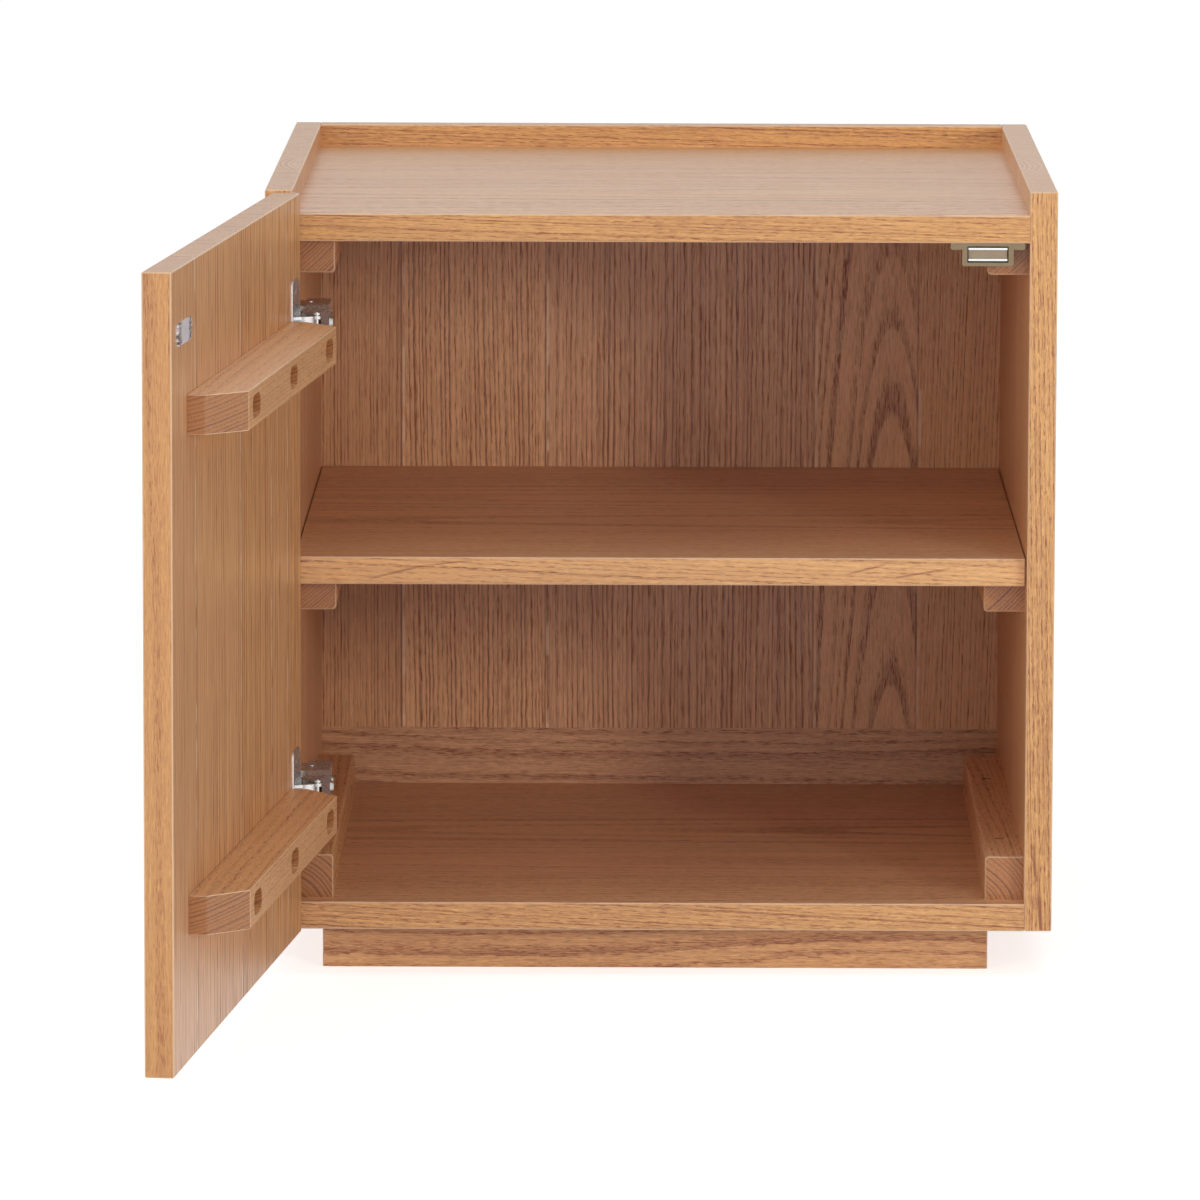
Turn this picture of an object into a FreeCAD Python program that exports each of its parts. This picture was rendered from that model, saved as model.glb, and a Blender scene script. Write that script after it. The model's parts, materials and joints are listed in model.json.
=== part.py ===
import FreeCAD, Part

import math
import os
from collections import namedtuple

# Oak nightstand with one full overlay door on concealed hinges, shown with its door open.
# Every piece is modelled in the cabinet frame: X from the centre line to the right,
# Y from the front edges of the sides to the back, Z up from the underside of the sides.
# The last step moves it to the origin, on the floor under the plinth's front board.

V = FreeCAD.Vector
UP = V(0, 0, 1)
DOWN = V(0, 0, -1)
LEFT = V(-1, 0, 0)
RIGHT = V(1, 0, 0)
FRONT = V(0, -1, 0)
BACK = V(0, 1, 0)

# Overrun of every cut past the face it opens, and the gap round pins and screws
overrun = 5.0
pin_gap = 0.05
screw_gap = 0.1

# Flats round each screw and dowel, which are too small to show as round
screw_side_count = 8
dowel_side_count = 12

# Carcass
width = 500.0
depth = 500.0
side_height = 472.5
board = 17.5
arris = 0.8
top_drop = 15.0
lower_rail_height = 56.3

# Shelf
shelf_underside = 220.2
shelf_setback = 11.8
shelf_gap = 0.5

# Cleats under the top and under the shelf, and battens on the bottom panel
cleat_width = 26.0
cleat_edge = 2.5
top_cleat_height = 22.0
top_cleat_setback = 20.0
shelf_cleat_height = 20.0
shelf_cleat_setback = 38.0
batten_width = 24.5
batten_height = 27.8
batten_setback = 17.0
cleat_end_gap = 22.0
batten_end_gap = 52.5

# Places of the screws in cleats and battens, from the front edges of the sides
fixing_front = 89.0
fixing_back_inset = 147.5
fixing_step = 30.0
bite = 12.0

# Plinth
plinth_height = 30.5
plinth_setback_left = 34.6
plinth_setback_right = 39.4
plinth_setback = 35.0
plinth_block = 22.0
plinth_block_drop = 2.5

# Dowels of the back
dowel_radius = 4.0
dowel_length = 32.0
dowel_bite = 12.0
dowel_room = 1.0
gallery_dowel_inset = 8.5
rail_dowel_inset = 13.0
back_dowel_inset = 90.0

# Magnetic catch under the top
catch_inset = 26.5
catch_front = 0.9
catch_depth = 15.0
catch_body_width = 32.5
catch_body_height = 14.6
catch_ear_width = 47.0
catch_ear_height = 4.2
catch_corner = 1.5
catch_slot_width = 25.9
catch_slot_height = 10.2
catch_slot_rise = 2.3
catch_back_wall = 1.5
pole_width = 24.5
pole_height = 1.3
pole_gap = 0.95
pole_recess = 0.3
pole_fit = 0.15
magnet_recess = 2.0

# Door
door_drop = 1.0
door_top_drop = 1.5
door_reveal = 1.0
door_gap = 1.5
door_open_angle = 96.3

# Battens on the door
door_batten_start = 44.0
door_batten_end_gap = 54.0
door_batten_proud = 33.0
door_batten_height = 23.5
door_batten_low = 74.6
door_batten_top_drop = 102.0
door_batten_end = 11.0
door_batten_clip = 24.0
door_batten_arris = 0.5
slot_length = 30.0
slot_width = 14.0
slot_inset = 53.0
slot_depth = 14.0

# Strike plate of the catch
strike_length = 50.0
strike_height = 13.1
strike_sheet = 1.2
strike_corner = 3.0
strike_top_drop = 46.8
strike_screw_inset = 7.0

# Hinges: heights, and pivots in plan from the side's inner front corner, door closed
hinge_low = 88.5
hinge_top_drop = 85.7
swing_pivot_in = 4.2
swing_pivot_back = 10.0
guide_pivot_in = 15.5
guide_pivot_front = 6.8
swing_eye_out = 9.45
swing_eye_front = 5.9
guide_eye_out = 4.7
guide_eye_front = 8.05
guide_length = 20.22
swing_turn = 28.5
guide_turn = 20.5
guide_closed_angle = 6.62
pin_radius = 1.2
rivet_end = 0.4

# Hinge cup
cup_radius = 17.5
cup_depth = 12.0
cup_wall = 0.8
cup_hole_gap = 0.05
cup_offset = 4.0
flange_sheet = 1.0
flange_rim = 0.7
flange_half_height = 32.0
flange_width = 29.0
flange_offset = 3.5
flange_corner = 6.0
flange_bevel = 0.4
cup_screw_spacing = 48.0
cup_screw_offset = 6.0
guide_stud_inner = 4.4

# Hinge arm, a folded sheet channel open towards the side
arm_sheet = 1.2
arm_foot = 7.5
arm_face = 22.5
arm_back = 57.0
arm_heel_back = 14.0
arm_half_height = 11.0
arm_nose_half_height = 8.5
arm_taper_front = 14.0
arm_taper_back = 19.0
arm_shoulder_back = 12.0
arm_lip_back = 0.6
swing_ear = 3.0
guide_ear = 2.4
arm_slot_width = 5.6
arm_slot_length = 11.0
arm_fixing_back = 46.0
arm_adjuster_back = 22.0
arm_bolt_radius = 2.5
arm_bolt_head_radius = 4.0
arm_bolt_crown_radius = 3.2
adjuster_head = 2.2
fixing_bolt_head = 1.2
arm_rivet_in = 10.2
arm_rivet_back = 37.0
arm_rivet_radius = 1.5

# Mounting plate under the arm
plate_sheet = 2.5
plate_wing_half_height = 24.0
plate_wing_width = 15.0
plate_screw_spacing = 32.0
plate_front = 29.0
plate_nose = 6.0
plate_gap = 0.15
plate_bolt_depth = 14.0

# Swing link, which carries the door, and guide link
swing_half_height = 4.0
swing_half_width = 1.6
swing_inner_eye = 2.6
swing_outer_eye = 2.2
swing_bow_shares = ((0.34, 0.32), (0.735, 0.42), (0.95, 0.27))
guide_inner = 4.6
guide_outer = 6.6
guide_half_width = 1.9
guide_bow_share = -0.08
guide_eye_radius = 2.2
guide_head_radius = 3.5
guide_slot_length = 5.4
guide_slot_width = 3.8
guide_web_sheet = 0.9
guide_web_shares = ((0.34, -0.12), (0.62, -0.225), (0.93, -0.12))

# Screws in the boards, and the finer screws in the fittings
board_screw_radius = 2.0
board_screw_head_radius = 4.0
board_screw_head = 2.4
screw_sink = 2.0
fitting_screw_radius = 1.6
fitting_screw_head_radius = 3.0
fitting_screw_head = 1.4
fitting_screw_length = 14.0

Screw = namedtuple("Screw", "radius length head_radius head sink")


def board_screw(through, sink=screw_sink):
    return Screw(board_screw_radius, through + bite - sink, board_screw_head_radius, board_screw_head, sink)


def fitting_screw(head):
    return Screw(fitting_screw_radius, fitting_screw_length, fitting_screw_head_radius, head, 0)


side_screw = board_screw(cleat_width)
top_screw = board_screw(top_cleat_height)
bottom_screw = board_screw(batten_height)
plinth_screw = board_screw(plinth_height - plinth_block_drop)
slot_screw = board_screw(door_batten_proud - slot_depth, 0)
catch_screw = fitting_screw(fitting_screw_head)
cup_screw = fitting_screw(flange_sheet)
strike_screw = fitting_screw(strike_sheet)
plate_screw = fitting_screw(plate_sheet)


# General shapes

def box(x_low, x_high, y_low, y_high, z_low, z_high):
    corner = V(x_low, y_low, z_low)
    return Part.makeBox(x_high - x_low, y_high - y_low, z_high - z_low, corner)


def eased(shape, size=arris, edges=None):
    """The shape with its edges sanded off flat, all of them or the ones given."""
    return shape.makeChamfer(size, edges or shape.Edges).Solids[0]


def rounded(shape, radius, edges):
    return shape.makeFillet(radius, edges).Solids[0]


def edges_along(shape, axis, side=None):
    """Straight edges along one axis, all of them or those on one side of the shape."""
    found = []
    for edge in shape.Edges:
        start, end = edge.Vertexes[0].Point, edge.Vertexes[-1].Point
        along = abs((end - start).normalize().dot(axis)) > math.cos(math.radians(1))
        outside = side is None or (edge.CenterOfMass - shape.BoundBox.Center).dot(side) > 0
        if along and outside:
            found.append(edge)
    return found


def prism(points, height, low=0):
    """Upright prism over an outline of points in plan."""
    outline = Part.makePolygon([V(p.x, p.y, low) for p in points + points[:1]])
    return Part.Face(outline).extrude(UP * height)


def disc(centre, radius, low, high):
    return Part.makeCylinder(radius, high - low, V(centre.x, centre.y, low))


def flat(points):
    return Part.Face(Part.makePolygon(points + points[:1]))


def faceted(outline, side_count):
    """Upright solid of flat faces, from the radius and height of each of its rings, top first."""
    rings = [[turned(V(radius, 0, height), 360 * side / side_count) for side in range(side_count)]
             for radius, height in outline]
    faces = [flat(rings[0]), flat(rings[-1])]
    for upper, lower in zip(rings, rings[1:]):
        for side in range(side_count):
            after = (side + 1) % side_count
            faces.append(flat([upper[side], upper[after], lower[after], lower[side]]))
    solid = Part.Solid(Part.Shell(faces))
    return solid if solid.Volume > 0 else solid.reversed()


def rod(radius, length, side_count):
    return faceted([(radius, length), (radius, 0)], side_count)


def turned(vector, degrees):
    return FreeCAD.Rotation(UP, degrees).multVec(vector)


def taper_bar(start, start_radius, end, end_radius, low, high):
    """Flat bar in plan with round ends of two sizes, and straight sides that touch both."""
    line = end - start
    heading = math.atan2(line.y, line.x)
    lean = math.acos((start_radius - end_radius) / line.Length)
    corners = []
    for centre, radius, turn in ((start, start_radius, lean), (end, end_radius, lean),
                                 (end, end_radius, -lean), (start, start_radius, -lean)):
        angle = heading + turn
        corners.append(centre + V(math.cos(angle), math.sin(angle), 0) * radius)
    bar = prism(corners, high - low, low)
    return bar.fuse([disc(start, start_radius, low, high), disc(end, end_radius, low, high)])


def stadium(length, radius, height):
    """Upright stadium at the origin, long along X."""
    reach = length / 2 - radius
    bar = box(-reach, reach, -radius, radius, 0, height)
    ends = [disc(V(side * reach, 0, 0), radius, 0, height) for side in (-1, 1)]
    return ends[0].fuse([bar, ends[1]]).removeSplitter()


def mirrored(shape, normal):
    return shape.mirror(V(0, 0, 0), normal)


def placed(shape, point, direction):
    """Copy of a shape that stands on the origin, moved to a point and turned to a direction."""
    copy = shape.copy()
    copy.Placement = FreeCAD.Placement(point, FreeCAD.Rotation(UP, direction))
    return copy


# Screws and their holes

def screw_body(kind, gap=0):
    """Countersunk screw with its head's top at the origin and its shank down."""
    neck = kind.radius + gap
    return faceted([(kind.head_radius + gap, 0), (neck, -kind.head), (neck, -kind.length)],
                   screw_side_count)


def screw_hole(kind):
    mouth = rod(kind.head_radius + screw_gap, overrun, screw_side_count)
    return screw_body(kind, screw_gap).fuse(mouth)


def fasten(pieces, group, receivers, kind, spots):
    """Put a screw at each spot, a point and the way its head faces, and drill what it goes through."""
    spots = [(point - outward * kind.sink, outward) for point, outward in spots]
    screws = [placed(screw_body(kind), point, outward) for point, outward in spots]
    holes = [placed(screw_hole(kind), point, outward) for point, outward in spots]
    for name in receivers:
        pieces[name] = pieces[name].cut(holes)
    pieces[group] = pieces.get(group, []) + screws


# Carcass boards

inner_left = board - width / 2
inner_right = width / 2 - board
inner_back = depth - board
top_surface = side_height - top_drop
top_underside = top_surface - board


def sides():
    left = box(-width / 2, inner_left, 0, depth, 0, side_height)
    right = box(inner_right, width / 2, 0, depth, 0, side_height)
    return {"side_left": eased(left), "side_right": eased(right)}


def level_board(underside):
    """Fixed board between the sides, with its front edges sanded."""
    panel = box(inner_left, inner_right, 0, inner_back, underside, underside + board)
    return eased(panel, edges=edges_along(panel, RIGHT, FRONT))


def back_rail(low, high):
    return box(inner_left, inner_right, inner_back, depth, low, high)


def gallery_rail():
    rail = back_rail(top_underside, side_height)
    return eased(rail, edges=edges_along(rail, RIGHT, UP))


def shelf():
    panel = box(inner_left + shelf_gap, inner_right - shelf_gap, shelf_setback,
                inner_back - shelf_gap, shelf_underside, shelf_underside + board)
    return eased(panel)


def carcass_boards():
    boards = sides()
    boards["top_panel"] = level_board(top_underside)
    boards["bottom_panel"] = level_board(0)
    boards["gallery_rail"] = gallery_rail()
    boards["back_panel"] = back_rail(lower_rail_height, top_underside)
    boards["lower_back_rail"] = back_rail(0, lower_rail_height)
    boards["shelf"] = shelf()
    return boards


def add_dowels(pieces):
    """Dowels that hold the three boards of the back between the sides."""
    places = [("gallery_rail", top_underside + gallery_dowel_inset),
              ("gallery_rail", side_height - gallery_dowel_inset),
              ("back_panel", lower_rail_height + back_dowel_inset),
              ("back_panel", top_underside - back_dowel_inset),
              ("lower_back_rail", rail_dowel_inset),
              ("lower_back_rail", lower_rail_height - rail_dowel_inset)]
    dowels = []
    for name, height in places:
        for side, inner, outward in (("side_left", inner_left, LEFT), ("side_right", inner_right, RIGHT)):
            start = V(inner, depth - board / 2, height) - outward * (dowel_length - dowel_bite)
            dowels.append(placed(rod(dowel_radius, dowel_length, dowel_side_count), start, outward))
            hole = rod(dowel_radius + pin_gap, dowel_length + 2 * dowel_room, dowel_side_count)
            hole = placed(hole, start - outward * dowel_room, outward)
            pieces[name] = pieces[name].cut(hole)
            pieces[side] = pieces[side].cut(hole)
    pieces["back_dowels"] = dowels


# Cleats and battens, made on the left and mirrored to the right

def cleat(bar_width, front, back, low, high, round_side):
    """Bar along a side, with its free long edge rounded and its inner ends sanded."""
    bar = box(inner_left, inner_left + bar_width, front, back, low, high)
    free_edge = [e for e in edges_along(bar, BACK, RIGHT)
                 if (e.CenterOfMass - bar.BoundBox.Center).dot(round_side) > 0]
    bar = rounded(bar, cleat_edge, free_edge)
    return eased(bar, edges=edges_along(bar, UP, RIGHT))


def cleats():
    back = inner_back - cleat_end_gap
    top = cleat(cleat_width, top_cleat_setback, back,
                top_underside - top_cleat_height, top_underside, DOWN)
    under_shelf = cleat(cleat_width, shelf_cleat_setback, back,
                        shelf_underside - shelf_cleat_height, shelf_underside, DOWN)
    batten = cleat(batten_width, batten_setback, inner_back - batten_end_gap,
                   board, board + batten_height, UP)
    left = {"top_cleat": top, "shelf_cleat": under_shelf, "bottom_batten": batten}
    pieces = {}
    for name, bar in left.items():
        pieces[name + "_left"] = bar
        pieces[name + "_right"] = mirrored(bar, RIGHT)
    return pieces


def add_cleat_screws(pieces):
    """Screws through each cleat or batten into its side, and on into the panel it is fixed to."""
    fixings = (fixing_front, inner_back - fixing_back_inset)
    rows = (("top_cleat", cleat_width, top_underside - top_cleat_height / 2),
            ("shelf_cleat", cleat_width, shelf_underside - shelf_cleat_height / 2),
            ("bottom_batten", batten_width, board + batten_height / 2))
    for side, inner, inward in (("left", inner_left, RIGHT), ("right", inner_right, LEFT)):
        for name, bar_width, height in rows:
            group = "batten_screws" if name == "bottom_batten" else "cleat_screws"
            face = V(inner, 0, height) + inward * bar_width
            spots = [(face + BACK * (y + fixing_step), inward) for y in fixings]
            fasten(pieces, group, (name + "_" + side, "side_" + side), side_screw, spots)
        middle = V(inner, 0, 0) + inward * (cleat_width / 2)
        under = middle + UP * (top_underside - top_cleat_height)
        over = V(inner, 0, board + batten_height) + inward * (batten_width / 2)
        fasten(pieces, "cleat_screws", ("top_cleat_" + side, "top_panel"), top_screw,
               [(under + BACK * y, DOWN) for y in fixings])
        fasten(pieces, "batten_screws", ("bottom_batten_" + side, "bottom_panel"), bottom_screw,
               [(over + BACK * y, UP) for y in fixings])


# Plinth

plinth_left_face = plinth_setback_left - width / 2
plinth_right_face = width / 2 - plinth_setback_right


def plinth():
    left = plinth_left_face
    right = plinth_right_face
    back = depth - plinth_setback
    front_board = box(left, right, plinth_setback, plinth_setback + board, -plinth_height, 0)
    back_board = box(left, right, back - board, back, -plinth_height, 0)
    side_span = (plinth_setback + board, back - board, -plinth_height, 0)
    return {"plinth_front": eased(front_board, edges=edges_along(front_board, UP, FRONT)),
            "plinth_back": eased(back_board, edges=edges_along(back_board, UP, BACK)),
            "plinth_left": box(left, left + board, *side_span),
            "plinth_right": box(right - board, right, *side_span)}


def add_plinth_blocks(pieces):
    """Glued corner blocks, each screwed up into the bottom panel."""
    low = plinth_block_drop - plinth_height
    blocks = []
    spots = []
    for x in (plinth_left_face + board, plinth_right_face - board - plinth_block):
        for y in (plinth_setback + board, depth - plinth_setback - board - plinth_block):
            blocks.append(box(x, x + plinth_block, y, y + plinth_block, low, 0))
            spots.append((V(x + plinth_block / 2, y + plinth_block / 2, low), DOWN))
    pieces["plinth_blocks"] = Part.makeCompound(blocks)
    fasten(pieces, "plinth_screws", ("plinth_blocks", "bottom_panel"), plinth_screw, spots)


# Magnetic catch

catch_centre = inner_right - catch_inset


def catch_housing():
    low = top_underside - catch_body_height
    back = catch_front + catch_depth
    body = box(-catch_body_width / 2, catch_body_width / 2, catch_front, back, low, top_underside)
    body = rounded(body, catch_corner, edges_along(body, BACK, DOWN))
    ears = box(-catch_ear_width / 2, catch_ear_width / 2, catch_front, back,
               top_underside - catch_ear_height, top_underside)
    ears = eased(ears, arris, edges_along(ears, BACK, DOWN))
    slot_low = low + catch_slot_rise
    slot = box(-catch_slot_width / 2, catch_slot_width / 2, catch_front - overrun,
               back - catch_back_wall, slot_low, slot_low + catch_slot_height)
    return body.fuse(ears).removeSplitter().cut(slot)


def catch_inside():
    """Two pole plates with the magnet between them, held at the back of the slot."""
    low = top_underside - catch_body_height + catch_slot_rise + pole_gap
    high = low + catch_slot_height - 2 * pole_gap
    front = catch_front + pole_recess
    back = catch_front + catch_depth - catch_back_wall - pole_fit
    half = pole_width / 2
    poles = [box(-half, half, front, back, low, low + pole_height),
             box(-half, half, front, back, high - pole_height, high)]
    magnet = box(-half, half, front + magnet_recess, back, low + pole_height, high - pole_height)
    return poles, magnet


def add_catch(pieces):
    to_place = RIGHT * catch_centre
    poles, magnet = catch_inside()
    pieces["catch_housing"] = catch_housing().translated(to_place)
    pieces["catch_magnet"] = magnet.translated(to_place)
    pieces["catch_poles"] = [pole.translated(to_place) for pole in poles]
    ear = (catch_body_width + catch_ear_width) / 4
    spots = [(V(catch_centre + side * ear, catch_front + catch_depth / 2,
                top_underside - catch_ear_height), DOWN) for side in (-1, 1)]
    fasten(pieces, "catch_screws", ("catch_housing", "top_panel"), catch_screw, spots)


# Hinge, in plan from the side's inner front corner and with its middle at height zero

swing_pivot = V(swing_pivot_in, swing_pivot_back, 0)
guide_pivot = V(guide_pivot_in, -guide_pivot_front, 0)
swing_eye = V(-swing_eye_out, -swing_eye_front, 0)
guide_eye = V(-guide_eye_out, -guide_eye_front, 0)
closed_corner = V(door_reveal - board, -door_gap, 0)
cup_centre = V(cup_offset, -door_gap, 0) - closed_corner
swing_length = (swing_eye - swing_pivot).Length
hinges = {"lower": hinge_low, "upper": side_height - hinge_top_drop}
nose_low = -guide_pivot_front - guide_ear


def arm_outline():
    nose = guide_pivot_in + guide_ear
    return [V(arm_foot, arm_back, 0), V(arm_face, arm_back, 0), V(arm_face, arm_shoulder_back, 0),
            V(nose, arm_lip_back, 0), V(nose, -guide_pivot_front, 0),
            V(swing_pivot_in - swing_ear, swing_pivot_back, 0),
            V(swing_pivot_in, swing_pivot_back + swing_ear, 0), V(arm_foot, arm_heel_back, 0)]


def arm_inside_outline():
    nose = guide_pivot_in + guide_ear
    web = arm_face - arm_sheet
    return [V(-overrun, arm_back + overrun, 0), V(web, arm_back + overrun, 0),
            V(web, arm_shoulder_back + arm_sheet / 2, 0), V(nose, arm_lip_back + arm_sheet, 0),
            V(nose, arm_lip_back, 0), V(nose + overrun, arm_lip_back, 0),
            V(nose + overrun, nose_low - overrun, 0), V(-overrun, nose_low - overrun, 0)]


def arm_height_profile(sheet=0):
    """Solid as wide as the arm that is low at the nose and full at the back."""
    nose = arm_nose_half_height - sheet
    full = arm_half_height - sheet
    half = [V(-overrun, nose_low - overrun, nose), V(-overrun, arm_taper_front, nose),
            V(-overrun, arm_taper_back, full), V(-overrun, arm_back + overrun, full)]
    outline = half + [V(p.x, p.y, -p.z) for p in reversed(half)]
    face = Part.Face(Part.makePolygon(outline + outline[:1]))
    return face.extrude(RIGHT * (arm_face + 2 * overrun))


def hinge_arm():
    """Sheet arm with ears for both link pins, a bent nose and a slot for its fixing bolt."""
    full = arm_half_height
    plate = prism(arm_outline(), 2 * full, -full)
    ears = taper_bar(swing_pivot, swing_ear, guide_pivot, guide_ear, -full, full)
    channel = plate.fuse(ears).removeSplitter().common(arm_height_profile())
    inside = prism(arm_inside_outline(), 2 * full, -full).common(arm_height_profile(arm_sheet))
    arm = channel.cut(inside)
    slot = stadium(arm_slot_length, arm_slot_width / 2, 2 * overrun)
    slot = slot.rotated(V(0, 0, 0), UP, 90)
    to_slot = V(arm_face - overrun, arm_fixing_back, 0)
    adjuster = Part.makeCylinder(arm_bolt_radius + pin_gap, 2 * overrun,
                                 V(arm_face - overrun, arm_adjuster_back, 0), RIGHT)
    return arm.cut([placed(slot, to_slot, RIGHT), adjuster] + arm_pins(pin_gap))


def arm_pins(gap=0):
    """Link pins and the cross rivet of the arm, or with a gap the holes that they sit in."""
    nose = arm_nose_half_height + rivet_end + gap
    full = arm_half_height + rivet_end + gap
    return [disc(swing_pivot, pin_radius + gap, -nose, nose),
            disc(guide_pivot, pin_radius + gap, -nose, nose),
            disc(V(arm_rivet_in, arm_rivet_back, 0), arm_rivet_radius + gap, -full, full)]


def bolt(length, head_height):
    """Pan head bolt with the underside of its head at the origin and its shank down."""
    shank = rod(arm_bolt_radius, length, screw_side_count).translated(DOWN * length)
    head = Part.makeCone(arm_bolt_head_radius, arm_bolt_crown_radius, head_height)
    return shank.fuse(head).removeSplitter()


def arm_bolts():
    web_bolt = bolt(arm_face - plate_bolt_depth + arm_sheet, fixing_bolt_head)
    adjuster = bolt(arm_face - plate_bolt_depth, adjuster_head)
    return [placed(web_bolt, V(arm_face, arm_fixing_back, 0), RIGHT),
            placed(adjuster, V(arm_face, arm_adjuster_back, 0), RIGHT)]


def hinge_plate():
    """Mounting plate: wings flat on the side, and a block that fills the back of the arm."""
    half = arm_half_height - arm_sheet - plate_gap
    top = arm_face - arm_sheet - plate_gap
    block = prism([V(0, plate_front - plate_nose, 0), V(plate_sheet, plate_front - plate_nose, 0),
                   V(top, plate_front, 0), V(top, arm_back, 0), V(0, arm_back, 0)], 2 * half, -half)
    wings = stadium(2 * plate_wing_half_height, plate_wing_width / 2, plate_sheet)
    wings = placed(wings, V(0, arm_rivet_back, 0), RIGHT)
    bolt_hole = rod(arm_bolt_radius + pin_gap, arm_face, screw_side_count)
    bolt_hole = placed(bolt_hole, V(top - plate_bolt_depth, arm_fixing_back, 0), RIGHT)
    rivet_hole = arm_pins(pin_gap)[-1]
    return block.fuse(wings).removeSplitter().cut([bolt_hole, rivet_hole])


def add_hinge_fixed_half(pieces, name, height):
    """Arm, plate, pins and bolts of one hinge, in the cabinet frame."""
    to_place = V(inner_left, 0, height)
    pieces["hinge_arm_" + name] = hinge_arm().translated(to_place)
    pieces["hinge_plate_" + name] = hinge_plate().translated(to_place)
    pieces["arm_pins"] = pieces.get("arm_pins", []) + [p.translated(to_place) for p in arm_pins()]
    pieces["arm_bolts"] = pieces.get("arm_bolts", []) + [b.translated(to_place) for b in arm_bolts()]
    spots = [(V(inner_left + plate_sheet, arm_rivet_back, height + side * plate_screw_spacing / 2), RIGHT)
             for side in (-1, 1)]
    fasten(pieces, "plate_screws", ("hinge_plate_" + name, "side_left"), plate_screw, spots)


# Links, each with its inner eye at the origin and its outer eye on +X

def strip(points, half_width, low, high):
    """Flat bar of even width round a run of arcs, each given by its start, middle and end."""
    arcs = [Part.Arc(*points[i:i + 3]).toShape() for i in range(0, len(points) - 2, 2)]
    outline = Part.Wire(arcs).makeOffset2D(half_width, 0, False, False)
    bar = Part.Face(outline).extrude(UP * (high - low))
    return bar.translated(UP * low)


def in_shares(shares, length):
    return [V(along * length, across * length, 0) for along, across in shares]


def swing_link():
    """Thick hooked link that lets the side's corner and the cup's rim into its bow."""
    half = swing_half_height
    origin = V(0, 0, 0)
    end = V(swing_length, 0, 0)
    first, crest, last = in_shares(swing_bow_shares, swing_length)
    hook = strip([origin, first, crest, last, end], swing_half_width, -half, half)
    link = hook.fuse([disc(origin, swing_inner_eye, -half, half), disc(end, swing_outer_eye, -half, half)])
    holes = [disc(centre, pin_radius + pin_gap, -half - overrun, half + overrun)
             for centre in (origin, end)]
    return link.removeSplitter().cut(holes)


def guide_link():
    """Folded sheet link: two bowed plates joined by a web, with a cross slot at the arm's pin."""
    origin = V(0, 0, 0)
    end = V(guide_length, 0, 0)
    middle = V(guide_length / 2, guide_bow_share * guide_length, 0)
    first, lowest, last = in_shares(guide_web_shares, guide_length)
    skirt_arc = Part.Arc(first, lowest, last).toShape()
    skirt_outline = Part.Wire([skirt_arc, Part.makeLine(last, first)])
    skirt = Part.Face(skirt_outline).extrude(UP * 2 * guide_outer).translated(DOWN * guide_outer)
    plates = []
    for low, high in ((guide_inner, guide_outer), (-guide_outer, -guide_inner)):
        bar = strip([origin, middle, end], guide_half_width, low, high)
        plates.append(bar.fuse([disc(origin, guide_eye_radius, low, high),
                                disc(end, guide_head_radius, low, high)]))
    core = skirt.translated(V(0, guide_web_sheet, 0))
    core = core.common(box(-overrun, guide_length, -overrun * 2, overrun, -guide_inner, guide_inner))
    link = plates[0].fuse([plates[1], skirt]).removeSplitter().cut(core)
    opening = box(-overrun, guide_length + overrun, first.y, overrun, -guide_inner, guide_inner)
    slot = stadium(guide_slot_length, guide_slot_width / 2, 2 * guide_outer + 2 * overrun)
    slot = slot.rotated(V(0, 0, 0), UP, 90).translated(end + DOWN * (guide_outer + overrun))
    eye = disc(origin, pin_radius + pin_gap, -guide_outer - overrun, guide_outer + overrun)
    return link.cut([opening, slot, eye])


# Door, in its own frame: X from the hinge edge, Y proud of the inner face, Z as the cabinet

door_width = width - 2 * door_reveal
door_batten_length = door_width - door_batten_start - door_batten_end_gap


def door_panel():
    return eased(box(0, door_width, -board, 0, -door_drop, side_height - door_top_drop))


def door_batten(low):
    start = door_batten_start
    end = door_batten_start + door_batten_length
    outline = [V(start, 0, 0), V(end, 0, 0), V(end, door_batten_end, 0),
               V(end - door_batten_clip, door_batten_proud, 0),
               V(start + door_batten_clip, door_batten_proud, 0), V(start, door_batten_end, 0)]
    bar = eased(prism(outline, door_batten_height, low), door_batten_arris)
    slot = stadium(slot_length, slot_width / 2, slot_depth + overrun)
    middle = low + door_batten_height / 2
    slots = [placed(slot, V(x, door_batten_proud - slot_depth, middle), BACK) for x in slot_places()]
    return bar.cut(slots)


def slot_places():
    first = door_batten_start + slot_inset
    last = door_batten_start + door_batten_length - slot_inset
    return [first, (first + last) / 2, last]


def hinge_cup():
    """Drawn steel cup with a wide flange, which lies on the door's inner face."""
    radius = cup_radius - cup_hole_gap
    shell = disc(cup_centre, radius, -cup_depth, 0)
    rim = disc(cup_centre, cup_radius + flange_rim, 0, flange_sheet)
    middle = cup_centre + V(flange_offset, 0, 0)
    plate = box(middle.x - flange_width / 2, middle.x + flange_width / 2,
                middle.y - flange_half_height, middle.y + flange_half_height, 0, flange_sheet)
    plate = rounded(plate, flange_corner, edges_along(plate, UP))
    flange = rim.fuse(plate).removeSplitter()
    top_edges = [edge for edge in flange.Edges if edge.BoundBox.ZMin > flange_sheet / 2]
    flange = eased(flange, flange_bevel, top_edges)
    hollow = disc(cup_centre, radius - cup_wall, cup_wall - cup_depth, flange_sheet + overrun)
    return shell.fuse(flange).removeSplitter().cut(hollow)


def wall_reach(eye):
    """Half the length of a pin that ends just inside the outer face of the cup's wall."""
    across = abs(eye.x - cup_centre.x) + pin_radius + pin_gap
    return math.sqrt((cup_radius - cup_hole_gap) ** 2 - across ** 2) - pin_gap


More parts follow.
